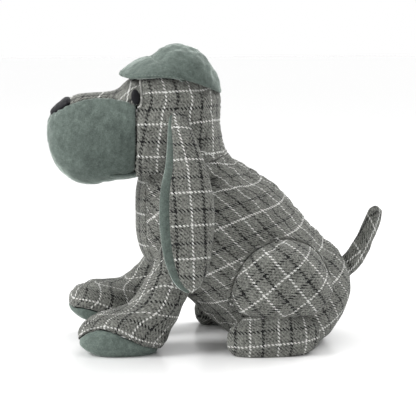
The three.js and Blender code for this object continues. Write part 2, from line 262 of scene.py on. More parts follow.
def tweed_material(name, painted_highlight=0.0):
    """Grey heather twill with a white and black windowpane check. A painted highlight turns a raised edge
    pale and fuzzy.
    """
    n = Nodes(name)
    across, along = [n.math("DIVIDE", run, YARN) for run in n.cloth_place()]
    # the yarns wander over a few centimetres, and their edges are hairy
    wander = n.noise(n.vector(across, along), 0.12, 2.0)
    across = n.plus(across, n.times(wander, 0.9))
    along = n.plus(along, n.times(wander, -0.7))
    hairy = n.plus(n.noise(n.vector(across, along), 1.1, 2.0), -0.5)
    across = n.plus(across, n.times(hairy, 1.3))
    along = n.plus(along, n.times(hairy, -1.3))
    warp, weft = n.math("FLOOR", across), n.math("FLOOR", along)
    # a 2/2 twill: each yarn passes over two and under two, one step on in each row
    step = n.math("FLOORED_MODULO", n.plus(warp, weft), 4)
    warp_up = n.math("LESS_THAN", step, 1.5)
    weft_up = n.math("SUBTRACT", 1.0, warp_up)

    def roundness(run):
        """The height over the width of a yarn, 1 in its middle."""
        off = n.math("SUBTRACT", n.math("FRACT", run), 0.5)
        return n.math("SUBTRACT", 1.0, n.times(n.times(off, off), 3.2))

    def mark(first, yarns):
        """1 where a yarn of one line of the check lies on top."""
        lines = []
        for index, repeat, at, on_top in zip((warp, weft), CHECK, first, (warp_up, weft_up)):
            place = n.math("FLOORED_MODULO", index, repeat)
            after_start = n.math("GREATER_THAN", place, at - 0.5)
            before_end = n.math("LESS_THAN", place, at + yarns - 0.5)
            lines.append(n.times(n.times(after_start, before_end), on_top))
        return n.math("MAXIMUM", *lines)

    yarn_height = n.mix(warp_up, roundness(along), roundness(across))
    warp_tone = n.random(n.vector(warp, n.math("FLOOR", n.times(along, 0.21))))
    weft_tone = n.random(n.vector(n.math("FLOOR", n.times(across, 0.21)), weft, 3.0))
    tone = n.mix(warp_up, weft_tone, warp_tone)
    place = n.vector(across, along)
    fibre = n.noise(place, 1.7, 4.0, 0.75)
    # patch: broad random patches of paler and darker wool; partly painted shade, made strong to stand in for
    # local shadows
    patch = n.noise(place, 0.045, 3.0)
    clump = n.noise(place, 0.42, 2.0)
    # warp_up makes the yarns on top a little paler: painted light on the twill's diagonal ridges
    heather = n.total((tone, 0.26), (fibre, 0.8), (patch, 0.25), (clump, 0.6), (warp_up, 0.12))
    base = n.mix(n.ramp(heather, 0.76, 1.26), DARK_WOOL, PALE_WOOL)
    white_mark = mark(WHITE_AT, WHITE_YARNS)
    black_mark = mark(BLACK_AT, BLACK_YARNS)
    color = n.mix(n.times(black_mark, 0.98), base, (0.003, 0.003, 0.004, 1))
    color = n.mix(n.times(white_mark, n.ramp(clump, 0.3, 0.7, 1.0, 0.75)), color, (0.93, 0.93, 0.90, 1))
    # painted highlight: pale grey mixed in where the fibres are strong
    color = n.mix(n.times(fibre, painted_highlight), color, (0.5, 0.5, 0.47, 1))
    relief = n.plus(yarn_height, n.times(n.math("MAXIMUM", white_mark, black_mark), 0.35))
    weave = n.bump(relief, 0.0004, 0.9)
    return n.surface(
        n.shaded(color, n.ramp(yarn_height, 0.2, 1.0, 0.62, 1.05)),
        n.ramp(fibre, 0.3, 0.7, 0.82, 0.98),
        n.bump(n.noise(place, 3.1, 3.0, 0.8), 0.00035, 0.5, weave),
        {"Sheen Weight": 0.12, "Sheen Roughness": 0.5, "Specular IOR Level": 0.2},
    )


def velour_material(name, light):
    """Brushed sage velour, with its colour scaled by light: above 1 it is a copy with painted light."""
    n = Nodes(name)
    place = n.place()
    broad = n.noise(place, 20.0, 2.0, 0.5)
    brushed = n.noise(place, 75.0)
    tuft = n.noise(place, 260.0, 3.0, 0.65)
    pile = n.noise(place, 900.0, 4.0, 0.8)
    blend = n.total((brushed, 0.22), (broad, 0.28), (tuft, 0.5))
    deep, pale = [tuple(light * part for part in color) + (1,) for color in (DEEP_SAGE, PALE_SAGE)]
    color = n.mix(n.ramp(blend, 0.33, 0.68), deep, pale)
    sheen = {"Sheen Weight": 0.85, "Sheen Roughness": 0.3, "Sheen Tint": (0.86, 0.96, 0.9, 1)}
    return n.surface(
        n.shaded(color, n.ramp(pile, 0.3, 0.7, 0.6, 1.35)),
        n.ramp(brushed, 0.3, 0.7, 0.72, 0.95),
        n.bump(pile, 0.0004, 0.55, n.bump(tuft, 0.0007, 0.5)),
        {**sheen, "Specular IOR Level": 0.15},
    )


def felt_material():
    n = Nodes("black_felt")
    place = n.place()
    fibre = n.noise(place, 1400.0, 5.0, 0.8)
    matted = n.noise(place, 240.0)
    return n.surface(
        n.mix(n.ramp(fibre, 0.35, 0.75), (0.002, 0.002, 0.003, 1), (0.014, 0.014, 0.018, 1)),
        n.ramp(matted, 0.3, 0.7, 0.42, 0.7),
        n.bump(matted, 0.0005, 0.5, n.bump(fibre, 0.0002, 0.5)),
        {"Sheen Weight": 0.03, "Specular IOR Level": 0.16},
    )


def thread_material(name, color):
    n = Nodes(name)
    ply = n.noise(n.place(), 1800.0, 3.0, 0.7)
    dark = tuple(0.6 * part for part in color) + (1,)
    return n.surface(
        n.mix(n.ramp(ply, 0.35, 0.65), dark, color + (1,)),
        n.ramp(ply, 0.3, 0.7, 0.55, 0.8),
        n.bump(ply, 0.0002, 0.6),
        {},
    )


TWEED = tweed_material("tweed")
# a copy of the tweed with a painted highlight, for the raised lip at the head's front edge
LIT_TWEED = tweed_material("tweed_painted_highlight", painted_highlight=1.1)
VELOUR = velour_material("sage_velour", 1.0)
# a lighter copy of the velour for the soles: painted light, as if the floor lit them
LIT_VELOUR = velour_material("sage_velour_painted_light", 1.25)
FELT = felt_material()
SAGE_THREAD = thread_material("sage_thread", (0.20, 0.25, 0.22))
GREY_THREAD = thread_material("grey_thread", (0.30, 0.30, 0.28))
WHITE_THREAD = thread_material("white_thread", (0.85, 0.85, 0.82))


# ---- Shapes ----
def spline(stations, at):
    """Smooth values of a station table, [place, ...sizes] in each row, at the given places."""
    table = np.array(stations, float)
    places, sizes = table[:, 0], table[:, 1:]
    slope = np.gradient(sizes, places, axis=0)
    at = np.clip(np.asarray(at, float), places[0], places[-1])
    i = np.clip(np.searchsorted(places, at, side="right") - 1, 0, len(places) - 2)
    span = (places[i + 1] - places[i])[..., None]
    t = (at - places[i])[..., None] / span
    start, end = sizes[i], sizes[i + 1]
    start_way, end_way = slope[i] * span, slope[i + 1] * span
    return (
        start * (2 * t**3 - 3 * t**2 + 1)
        + start_way * (t**3 - 2 * t**2 + t)
        + end * (3 * t**2 - 2 * t**3)
        + end_way * (t**3 - t**2)
    )


def smooth(t):
    t = np.clip(t, 0, 1)
    return t * t * (3 - 2 * t)


def even(points, count):
    """Points spread evenly along a line of points."""
    step = np.linalg.norm(np.diff(points, axis=0), axis=1)
    run = np.concatenate([[0], np.cumsum(step)])
    at = np.linspace(0, run[-1], count)
    return np.stack([np.interp(at, run, points[:, k]) for k in range(points.shape[1])], axis=1)


def lengths(points, axis):
    """The distance run along one axis of a grid of points."""
    step = np.linalg.norm(np.diff(points, axis=axis), axis=2)
    zero = np.zeros_like(np.take(step, [0], axis=axis))
    return np.concatenate([zero, np.cumsum(step, axis=axis)], axis=axis)


def normals(grid, closed=False):
    """Unit normals of a grid of points, rows by columns."""
    along = np.gradient(grid, axis=0)
    if closed:
        across = (np.roll(grid, -1, axis=1) - np.roll(grid, 1, axis=1)) / 2
    else:
        across = np.gradient(grid, axis=1)
    normal = np.cross(across, along)
    return normal / np.maximum(np.linalg.norm(normal, axis=2, keepdims=True), 1e-9)


def raised(grid, height, closed=False):
    """A grid of points moved out along its normals."""
    return grid + normals(grid, closed) * np.asarray(height, float)[..., None]


def waves(grid, size, seed):
    """Gentle noise over a grid of points, about -1 to 1, with bumps about this size."""
    random = np.random.default_rng(seed)
    total = np.zeros(grid.shape[:2])
    weight = 0.0
    for octave in range(3):
        for _ in range(5):
            way = random.normal(size=3)
            way *= 2 * math.pi * 2**octave / (size * np.linalg.norm(way))
            total += 0.6**octave * np.sin(grid @ way + random.uniform(0, 2 * math.pi))
        weight += 0.6**octave
    return total / (weight * 2.2)


def object_from(name, points, faces, uvs, material):
    """A mesh object from points in millimetres, with a UV pair for each face corner if it has a weave."""
    mesh = bpy.data.meshes.new(name)
    mesh.from_pydata([tuple(p) for p in np.asarray(points) * MM], [], faces)
    if uvs is not None:
        layer = mesh.uv_layers.new(name="cloth")
        layer.data.foreach_set("uv", (np.asarray(uvs, float) * MM).ravel())
    mesh.validate()
    mesh.materials.append(material)
    mesh.polygons.foreach_set("use_smooth", [True] * len(mesh.polygons))
    piece = bpy.data.objects.new(name, mesh)
    bpy.context.collection.objects.link(piece)
    return piece


def sheet_mesh(name, grid, uv, material, closed=False):
    """A grid of points as a mesh. A closed grid joins its last column to its first."""
    rows, columns = grid.shape[:2]
    faces, corners = [], []
    for r in range(rows - 1):
        for c in range(columns if closed else columns - 1):
            d = (c + 1) % columns
            faces.append([r * columns + c, r * columns + d, (r + 1) * columns + d, (r + 1) * columns + c])
            if uv is not None:
                corners += [uv[r, c], uv[r, c + 1], uv[r + 1, c + 1], uv[r + 1, c]]
    return object_from(name, grid.reshape(-1, 3), faces, corners or None, material)


def thicken(piece, thickness):
    """Gives a cover the thickness of its cloth, inwards, so that it is a closed form."""
    modifier = piece.modifiers.new("cloth", "SOLIDIFY")
    modifier.thickness = thickness
    modifier.offset = -1
    bpy.context.view_layer.objects.active = piece
    bpy.ops.object.modifier_apply(modifier=modifier.name)


PRESSURE = 6.0
SIMULATED_FRAMES = 14


def puffed(grid, most, closed=False, loose=0.05):
    """A panel filled by cloth simulation: its sewn edges are held, the cloth between them is a little too big
    and is pushed out, and no point moves more than `most` millimetres."""
    rows, columns = grid.shape[:2]
    piece = sheet_mesh("puff", grid, None, VELOUR, closed)
    index = np.arange(rows * columns).reshape(rows, columns)
    held = [index[0], index[-1], index[-2], index[-3]]
    if not closed:
        held += [index[:, 0], index[:, -1]]
    group = piece.vertex_groups.new(name="sewn")
    group.add([int(i) for i in np.unique(np.concatenate(held))], 1.0, "REPLACE")
    cloth = piece.modifiers.new("cloth", "CLOTH")
    settings = cloth.settings
    settings.quality = 5
    settings.mass = 0.2
    settings.tension_stiffness = 12
    settings.compression_stiffness = 6
    settings.shear_stiffness = 4
    settings.bending_stiffness = 0.12
    settings.use_pressure = True
    settings.uniform_pressure_force = PRESSURE
    settings.shrink_min = -loose
    settings.effector_weights.gravity = 0
    settings.vertex_group_mass = "sewn"
    cloth.collision_settings.use_collision = False
    for frame_number in range(1, SIMULATED_FRAMES + 1):
        bpy.context.scene.frame_set(frame_number)
    shown = piece.evaluated_get(bpy.context.evaluated_depsgraph_get()).data
    after = np.empty(rows * columns * 3)
    shown.vertices.foreach_get("co", after)
    move = after.reshape(rows, columns, 3) / MM - grid
    size = np.maximum(np.linalg.norm(move, axis=2, keepdims=True), 1e-6)
    bpy.data.objects.remove(piece)
    bpy.context.scene.frame_set(1)
    return grid + move / size * most * np.tanh(size / most)


def mirror_grid(grid):
    return grid * np.array([-1.0, 1.0, 1.0])


def turned(grid, pivot, angle):
    """Points turned about the X direction through a pivot."""
    y, z = grid[..., 1] - pivot[1], grid[..., 2] - pivot[2]
    cos, sin = math.cos(angle), math.sin(angle)
    return np.stack([grid[..., 0], pivot[1] + y * cos - z * sin, pivot[2] + y * sin + z * cos], axis=-1)


def seam_roll(grid, closed=False, left=0.0, right=0.0, first=0.0, last=0.0, reach=2.2):
    """Turns a panel's sewn edges in: depth in millimetres at each side, and at the first and last row."""
    across, along = lengths(grid, 1), lengths(grid, 0)
    depth = np.zeros(grid.shape[:2])
    for amount, distance in (
        (left, across),
        (right, across[:, -1:] - across),
        (first, along),
        (last, along[-1:] - along),
    ):
        depth = np.maximum(depth, amount * np.exp(-((distance / reach) ** 1.5)))
    return raised(grid, -depth, closed)


def puckers(grid, distance, along, height, reach=11.0, pitch=9.0, seed=1):
    """Small gathers that run out from a seam: height millimetres at the seam, gone at reach."""
    phase = 1.7 * waves(grid, 60, seed) + 0.8 * waves(grid, 23, seed + 1)
    gather = np.sin(along * 2 * math.pi / pitch + 4 * phase)
    return height * gather * np.exp(-distance / reach) * (1 - np.exp(-distance / 1.5))


SIDE_POWER = 0.9  # under 1, a level slice is fuller at its corners than an ellipse
DENSE = 361


def fuller(value, power):
    """A share of -1 to 1 raised to a power with its sign kept: below 1, it makes an oval's corners fuller."""
    return np.sign(value) * np.abs(value) ** power


def half_slice(z, front, back, half):
    """The left half of a level slice, from the front round to the back, in many small steps."""
    angle = np.linspace(0, math.pi, DENSE)
    y = (front + back) / 2 + (back - front) / 2 * fuller(-np.cos(angle), SIDE_POWER)
    x = half * np.abs(np.sin(angle)) ** SIDE_POWER
    return np.stack([x, y, np.full(DENSE, z)], axis=1)


def half_slices(stations, heights):
    return [half_slice(z, *row) for z, row in zip(heights, spline(stations, heights))]


def cut_at(line, x):
    """Cuts a line of points where it first passes an X: the part before and the part after."""
    passed = max(int(np.argmax(line[:, 0] >= x)), 1)
    a, b = line[passed - 1], line[passed]
    share = (x - a[0]) / (b[0] - a[0] + 1e-9)
    point = (a + (b - a) * np.clip(share, 0, 1))[None]
    return np.concatenate([line[:passed], point]), np.concatenate([point, line[passed:]])


def lean_to_neck(points, level):
    """Leans level slices, more and more from a level on, so that the neck's lies in its seam's plane."""
    share = smooth((points[..., 2] - level) / (NECK[2] - level))
    out = points.copy()
    out[..., 2] += (points[..., 1] - NECK[1]) * TILT * share
    return out


def full_ring(half, count):
    """A closed ring from its left half: front, left side, back, right side."""
    half = even(half, count)
    return np.concatenate([half, mirror_grid(half)[-2:0:-1]])


def both_sides(grid):
    """A whole panel from its left half, whose first column lies in the middle."""
    return np.concatenate([mirror_grid(grid)[:, :0:-1], grid], axis=1)


def cloth_uv(grid, row=0, column=0, turn=0.0, shift=(0, 0)):
    """Lengths along the cloth, from one row and one column, turned to the weave."""
    along, up = lengths(grid, 1), lengths(grid, 0)
    u = along - along[:, column : column + 1] + shift[0]
    v = up - up[row : row + 1, :] + shift[1]
    cos, sin = math.cos(turn), math.sin(turn)
    return np.stack([u * cos + v * sin, v * cos - u * sin], axis=2)


def closed_uv(grid, row, column, turn=0.0):
    whole = np.concatenate([grid, grid[:, :1]], axis=1)
    return cloth_uv(whole, row, column, turn)


def right_of(grid, uv):
    """The right panel from the left one: mirrored, and its columns the other way round."""
    return mirror_grid(grid)[:, ::-1], uv[:, ::-1] * np.array([-1.0, 1.0])


def own(piece, slot, *nodes, fill=None, body=None):
    """Hides a piece's CAD nodes and hangs the piece on the body it rides. Its slot and fill are not used."""
    if nodes:
        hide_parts(*nodes)
    if body:
        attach(piece, body)
    return piece


def cover(name, grid, uv, material, slot, *nodes, closed=False, thickness=CLOTH, fill=None, body=None):
    """A cover of cloth over a grid of points."""
    piece = sheet_mesh(name, grid, uv, material, closed)
    thicken(piece, thickness * MM)
    return own(piece, slot, *nodes, fill=fill, body=body)


def blend_between(piece):
    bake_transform(piece)


def tube(path, radius, around):
    """A closed-section tube along a path, with outward normals."""
    way = np.gradient(path, axis=0)
    way /= np.linalg.norm(way, axis=1, keepdims=True)
    across = np.cross(way, X_AXIS)
    across /= np.maximum(np.linalg.norm(across, axis=1, keepdims=True), 1e-6)
    up = np.cross(across, way)
    angle = np.linspace(0, 2 * math.pi, around, endpoint=False)
    cos, sin = np.cos(angle)[None, :, None], np.sin(angle)[None, :, None]
    ring = across[:, None] * cos + up[:, None] * sin
    return path[:, None] + ring * np.asarray(radius)[:, None, None]


STITCH = 2.3
STITCH_GAP = 1.1
STITCH_STEP = 0.2  # along the thread
STITCH_AROUND = 6


def stitches(name, path, slot, material, radius=0.3):
    """A row of separate stitches along a path on the surface, each with its ends sunk into the cloth."""
    run = np.concatenate([[0], np.cumsum(np.linalg.norm(np.diff(path, axis=0), axis=1))])
    at = np.arange(0, run[-1], STITCH_STEP)
    along = np.stack([np.interp(at, run, path[:, k]) for k in range(3)], axis=1)
    points, faces = [], []
    each, gap = int(STITCH / STITCH_STEP), int(STITCH_GAP / STITCH_STEP)
    for start in range(0, len(along) - each, each + gap):
        line = along[start : start + each + 1 : 2]
        share = np.linspace(-1, 1, len(line))
        base = len(points)
        points.extend(tube(line, radius * (1 - 0.6 * share**4), STITCH_AROUND).reshape(-1, 3))
        rings = base + np.arange(len(line) * STITCH_AROUND).reshape(-1, STITCH_AROUND)
        beside = np.roll(rings, -1, axis=1)
        quads = np.stack([rings[:-1], beside[:-1], beside[1:], rings[1:]], axis=2)
        faces += quads.reshape(-1, 4).tolist()
        faces += [rings[0, ::-1].tolist(), rings[-1].tolist()]
    return own(object_from(name, points, faces, None, material), slot)


# ---- Body ----
BODY = [
    [0, 24, 91, 44], [7, 10, 100, 54], [20, -7, 110, 60], [42, -30, 119, 61], [60, -52, 120.5, 60],
    [80, -69, 111, 57], [100, -75, 91, 54], [118, -75.5, 73, 52], [134, -75.5, 52, 50],
    [146, -75, 31, 48], [158, -73, 13, 46.5], [165, -72, 7, 45],
]
GUSSET_HALF = 24
BODY_LEAN = 105  # above this height, the slices begin to lean towards the neck seam's plane


def body_panels():
    gusset, side = [], []
    for line in half_slices(BODY, np.linspace(0, NECK[2], 96)):
        front, rest = cut_at(line, GUSSET_HALF)
        gusset.append(even(front, 15))
        side.append(even(rest, 96))
    side = lean_to_neck(np.array(side), BODY_LEAN)
    across, up = lengths(side, 1), lengths(side, 0)
    to_back, to_neck = across[:, -1:] - across, up[-1:] - up
    pull = puckers(side, to_back, up, 0.5, seed=4)
    pull += puckers(side, across, up, 0.5, seed=8)
    pull += puckers(side, to_neck, across, 0.9, reach=14, pitch=13, seed=12)
    lumps = 1.1 * waves(side, 62, 3) + 0.35 * waves(side, 24, 5)
    fade = smooth(across / 12) * smooth(to_back / 12)
    side = puffed(raised(side, pull + lumps * fade), most=2.2)
    uv = cloth_uv(side, row=50, column=48, turn=math.radians(23), shift=(11, 4))
    side = seam_roll(side, left=1.3, right=1.8, first=3.6)
    front = both_sides(lean_to_neck(np.array(gusset), BODY_LEAN))
    front_uv = cloth_uv(front, row=50, column=14)
    front = seam_roll(front, left=1.3, right=1.3, first=3.6)
    for piece in (
        cover("body_left_cover", side, uv, TWEED, "tweed", "body_left", "body_stuffing", fill=0.7),
        cover("body_right_cover", *right_of(side, uv), TWEED, "tweed", "body_right", fill=0.7),
        cover("belly_gusset_cover", front, front_uv, TWEED, "tweed", "belly_gusset", "pellet_bag", fill=0.7),
    ):
        blend_between(piece)


def seat():
    """The round of cloth that the dog sits on."""
    _, front, back, half = BODY[0]
    ring = full_ring(half_slice(0.0, front, back, half), 33)
    middle = np.array([0.0, (front + back) / 2, 0.6])
    grid = np.array([middle + (ring - middle) * share for share in np.linspace(0.02, 1.0, 9)])
    grid = np.concatenate([grid, grid[:, :1]], axis=1)
    cover("seat_cover", grid, grid[..., :2], TWEED, "tweed", body="torso")


body_panels()
seat()


# ---- Head ----
SKULL = [
    [165, -73, 7, 45.5], [172, -74, 4, 46], [190, -77, 2, 46.5], [215, -80, 1.5, 46.5],
    [226, -80, 0, 45.8], [232, -80, -3, 45], [240, -77, -9, 42], [246, -72, -15, 37],
]
MUZZLE = [
    [-153.3, 184, 200, 10], [-150.6, 174, 208, 20], [-147, 166, 212, 26], [-139, 156, 220, 31],
    [-128, 148.5, 226, 35], [-114, 146.5, 227.8, 38.5], [-100, 149.5, 228.6, 41], [-92, 151.2, 230.2, 42],
    [-88, 152, 232.5, 42.5], [-84, 152.8, 236.5, 42.6], [-79, 154, 240, 42.7], [-70, 157, 243, 42],
    [-60, 160, 245, 41],
]
MUZZLE_SEAM = -79
MUZZLE_POWER = 0.8  # under 1, the muzzle's section has fuller corners than an ellipse
SKULL_TOP = SKULL[-1][0]
TEMPLE = 222  # the height above which the head narrows towards its top
HEAD_LEAN = 215  # below this height, the slices lean more and more towards the neck seam's plane


def muzzle_half_width(y, z):
    """How far out the muzzle's side is at a height, in the section at y."""
    low, high, half = spline(MUZZLE, [y])[0]
    up = np.clip((z - (low + high) / 2) / ((high - low) / 2), -0.995, 0.995)
    return half * (1 - np.abs(up) ** (2 / MUZZLE_POWER)) ** (MUZZLE_POWER / 2)


def head_side():
    """The left side of the head: its front edge lies against the muzzle, and the rest follows the skull."""
    heights = np.linspace(NECK[2], SKULL_TOP, 70)
    rows = []
    for z, (front, back, half) in zip(heights, spline(SKULL, heights)):
        line = half_slice(z, front, back, half)
        middle = (front + back) / 2
        edge = muzzle_half_width(MUZZLE_SEAM, np.clip(z, 170, TEMPLE))
        if z >= TEMPLE:
            edge = edge * (1 - 0.25 * smooth((z - TEMPLE) / (SKULL_TOP - TEMPLE)))
        edge = edge - 6 * smooth((176 - z) / 12)
        seam = MUZZLE_SEAM + 4.5 * smooth((z - 210) / 14)
        y = np.linspace(seam, middle, 60)[:-1]
        x = half - (half - edge) * np.abs((middle - y) / (middle - MUZZLE_SEAM)) ** 2.5
        fore = np.stack([x, y, np.full(len(y), z)], axis=1)
        rows.append(even(np.concatenate([fore, line[line[:, 1] > middle]]), 72))
    return lean_to_neck(np.array(rows), HEAD_LEAN)


def head_panels():
    grid = head_side()
    across, up = lengths(grid, 1), lengths(grid, 0)
    pull = puckers(grid, across, up, 0.5, seed=21)
    pull += puckers(grid, up, across, 0.8, reach=12, pitch=12, seed=25)
    bare = smooth((SKULL_TOP - grid[..., 2]) / 26)  # the cloth is smooth under the cap
    grid = puffed(raised(grid, (pull + 0.5 * waves(grid, 45, 27)) * bare), most=1.2)
    uv = cloth_uv(grid, row=35, column=30, shift=(3, 8))
    uv[..., 0] -= 0.2 * uv[..., 1] * (1 - 1.7 * np.linspace(0, 1, grid.shape[1]))
    lip = grid[grid[:, 0, 2] > 217][:, 1]
    for side, line in (("left", lip), ("right", mirror_grid(lip))):
        strip = tube(line, np.full(len(line), 1.15), 10)
        # this lip's tweed carries a painted highlight
        piece = sheet_mesh(f"head_{side}_edge", strip, closed_uv(strip, 0, 0, 0.8), LIT_TWEED, closed=True)
        own(piece, "tweed", body="head")
    rolled = seam_roll(grid, left=1.8, right=1.5, last=3.6)
    for piece in (
        cover("head_left_cover", rolled, uv, TWEED, "tweed", "head_left", "head_stuffing", fill=0.8),
        cover("head_right_cover", *right_of(rolled, uv), TWEED, "tweed", "head_right", fill=0.8),
    ):
        blend_between(piece)


def muzzle_section(y):
    """One side of the muzzle's section, from the middle of the top round to the middle below."""
    low, high, half = spline(MUZZLE, [y])[0]
    angle = np.linspace(0, math.pi, DENSE)
    x = half * np.abs(np.sin(angle)) ** MUZZLE_POWER
    z = (low + high) / 2 + (high - low) / 2 * fuller(np.cos(angle), MUZZLE_POWER)
    return np.stack([x, np.full(DENSE, y), z], axis=1)


GUSSET_EDGE = [  # narrow under the nose, and wide enough at the back to reach the eyes: [y, half]
    [-153.3, 0.1], [-150, 0.3], [-146, 8], [-140, 15], [-134, 18], [-112, 18.5], [-104, 20], [-97, 23.5],
    [-91, 28.5], [-86, 34], [-82, 37.5], [-79, 39.5], [-70, 40], [-60, 39],
]


def gusset_half(y):
    return float(spline(GUSSET_EDGE, [y])[0][0])


def muzzle_places():
    share = np.linspace(0, 1, 60)
    first = MUZZLE[0][0]
    return first + (MUZZLE_SEAM - first) * (0.35 * share + 0.65 * share**2)


def muzzle_panels():
    side, top = [], []
    for y in muzzle_places():
        widest = 0.9 * spline(MUZZLE, [y])[0][2]
        upper, rest = cut_at(muzzle_section(y), min(gusset_half(y), widest))
        side.append(even(rest, 72))
        top.append(even(upper, 11))
    tip = np.array([0.0, MUZZLE[0][0] - 1.0, 191])
    side = np.array([tip + (side[0] - tip) * share for share in (0.03, 0.35, 0.7)] + side)
    across, back = lengths(side, 1), lengths(side, 0)
    pull = puckers(side, across, back, 0.7, reach=9, pitch=8, seed=31)
    pull += puckers(side, back[-1:] - back, across, 0.6, reach=9, pitch=10, seed=33)
    lumps = 0.9 * waves(side, 42, 35) + 0.25 * waves(side, 16, 36)
    fade = smooth(back / 14) * smooth(across / 10) * smooth((across[:, -1:] - across) / 10)
    side = puffed(raised(side, pull * smooth(back / 25) + lumps * fade), most=0.7, loose=0.02)
    side = seam_roll(side, left=1.4, right=1.1, first=2.0)
    cover("muzzle_left_cover", side, None, VELOUR, "sage_velour", "muzzle_left", fill=0.9, body="head")
    side = mirror_grid(side)[:, ::-1]
    cover("muzzle_right_cover", side, None, VELOUR, "sage_velour", "muzzle_right", fill=0.9, body="head")
    # the gusset runs on under the cap
    top += [even(cut_at(muzzle_section(y), gusset_half(y))[0], 11) for y in (-75, -70, -65, -61)]
    gusset = both_sides(np.array(top))
    uv = cloth_uv(gusset, column=10)
    gusset = seam_roll(gusset, left=1.2, right=1.2)
    cover("head_gusset_cover", gusset, uv, TWEED, "tweed", "head_gusset", fill=0.8, body="head")


def chin():
    """A velour strip that joins the muzzle to the neck below."""
    rows = []
    for y in np.linspace(-100, -67, 16):
        share = smooth((y + 100) / 38)
        width = 30 - 4 * share
        x = np.linspace(-width, width, 25)
        z = 150.2 - 1.2 * math.sin(math.pi * share) + 4.0 * share + 6.5 * np.abs(x / width) ** 2.6
        rows.append(np.stack([x, np.full(25, y), z], axis=1))
    piece = cover("chin_cover", np.array(rows)[:, ::-1], None, VELOUR, "sage_velour", "chin")
    blend_between(piece)


head_panels()
muzzle_panels()
chin()


# ---- Nose and eyes ----
NOSE = np.array([0.0, -141.0, 215.4])
NOSE_SLOPE = math.radians(41)
NOSE_HALF_LENGTH = 11.6
NOSE_HEIGHT = 4.6
EYE = np.array([38.9, -78.4, 226.4])
EYE_SIZE = np.array([3.7, 3.7, 6.5])
EYE_TILT = math.radians(6)


def nose():
    """A rounded triangle on the slope at the muzzle's tip, wide above and narrow below."""
    angle = np.linspace(0, 2 * math.pi, 44, endpoint=False)
    up = np.array([0.0, math.cos(NOSE_SLOPE), math.sin(NOSE_SLOPE)])
    out = np.array([0.0, -math.sin(NOSE_SLOPE), math.cos(NOSE_SLOPE)])
    rows = []
    for t in np.linspace(1, -1, 34):
        round_off = (1 - abs(t) ** 5) ** 0.5
        wide = (8.5 + 10.5 * smooth((t + 1.0) / 1.8)) * round_off + 0.05
        high = NOSE_HEIGHT * round_off + 0.05
        across = wide * fuller(np.cos(angle), 0.85)
        above = high * fuller(np.sin(angle), 0.9)
        rows.append(NOSE + NOSE_HALF_LENGTH * t * up + across[:, None] * X_AXIS + above[:, None] * out)
    grid = np.array(rows)
    grid = raised(grid, 0.35 * waves(grid, 12, 50), closed=True)
    piece = sheet_mesh("nose_pad", grid, None, FELT, closed=True)
    own(piece, "black_felt", "nose", fill=0.9, body="head")


def eye(side, sign):
    """A padded oval that leans a little forward."""
    up = np.linspace(-math.pi / 2, math.pi / 2, 28)[:, None]
    around = np.linspace(0, 2 * math.pi, 48, endpoint=False)[None]
    level = np.cos(up)
    ball = np.stack([level * np.cos(around), level * np.sin(around), np.sin(up) + 0 * around], axis=2)
    grid = turned(fuller(ball, 0.9) * EYE_SIZE, (0, 0, 0), EYE_TILT) + EYE * np.array([sign, 1, 1])
    piece = sheet_mesh(f"eye_{side}_pad", grid, None, FELT, closed=True)
    own(piece, "black_felt", f"eye_{side}", body="head")


nose()
eye("left", 1)
eye("right", -1)


# ---- Cap ----
CAP_EDGE = np.array([0.0, -42.0, 235.0])
CAP_TILT = math.radians(-10)
CROWN = [
    [235, -79, 1.7, 48.2], [242, -77.5, -1.2, 49.4], [250, -71, -5.5, 48], [256, -63.5, -9.1, 45],
    [260, -60, -13, 41], [263.8, -57, -17.6, 36], [267, -52.5, -23, 29], [269.5, -47, -29, 19],
    [271.2, -41.5, -37.5, 5],
]
CAP_LOW = CROWN[0][0]
CAP_RISE = 36.2
CAP_HEART = np.array([0.0, -42.0, 236.0])  # the peak bulges away from here
TEMPLES = -36  # the peak ends where the cap's edge passes this Y


def arch(points, height):
    """The cap's edge rises over the ears: how far, at a height above the edge before it is tipped."""
    rise = 7.6 * np.sin(math.pi * np.clip((1 - points[..., 1]) / 82, 0, 1))
    return rise * (1 - smooth(height / 20))


def crown():
    share = np.linspace(0, 1, 44)
    heights = CAP_LOW + CAP_RISE * np.sin(share * math.pi / 2) ** 0.9
    rows = [full_ring(line, 49) for line in half_slices(CROWN, heights)]
    top = rows[-1].mean(axis=0) + np.array([0, 0, 0.3])
    rows += [top + (rows[-1] - top) * k for k in (0.5, 0.04)]
    level = np.array(rows)
    grid = turned(level, CAP_EDGE, CAP_TILT)
    grid[..., 2] += arch(grid, level[..., 2] - CAP_LOW)
    lumps = 1.2 * waves(grid, 34, 61) + 0.4 * waves(grid, 14, 62)
    fade = smooth(np.arange(len(rows)) / 10)[:, None]
    grid = puffed(raised(grid, lumps * fade, closed=True), closed=True, most=0.8, loose=0.02)
    nodes = ("cap_crown", "cap_stuffing")
    cover("cap_crown_cover", grid, None, VELOUR, "sage_velour", *nodes, closed=True, fill=0.6, body="head")


def cap_edge_line(front, back, half):
    """Half of the cap's lower edge, from the front to the back."""
    line = turned(even(half_slice(CAP_LOW, front, back, half), 400), CAP_EDGE, CAP_TILT)
    line[:, 2] += arch(line, np.zeros(len(line)))
    return line


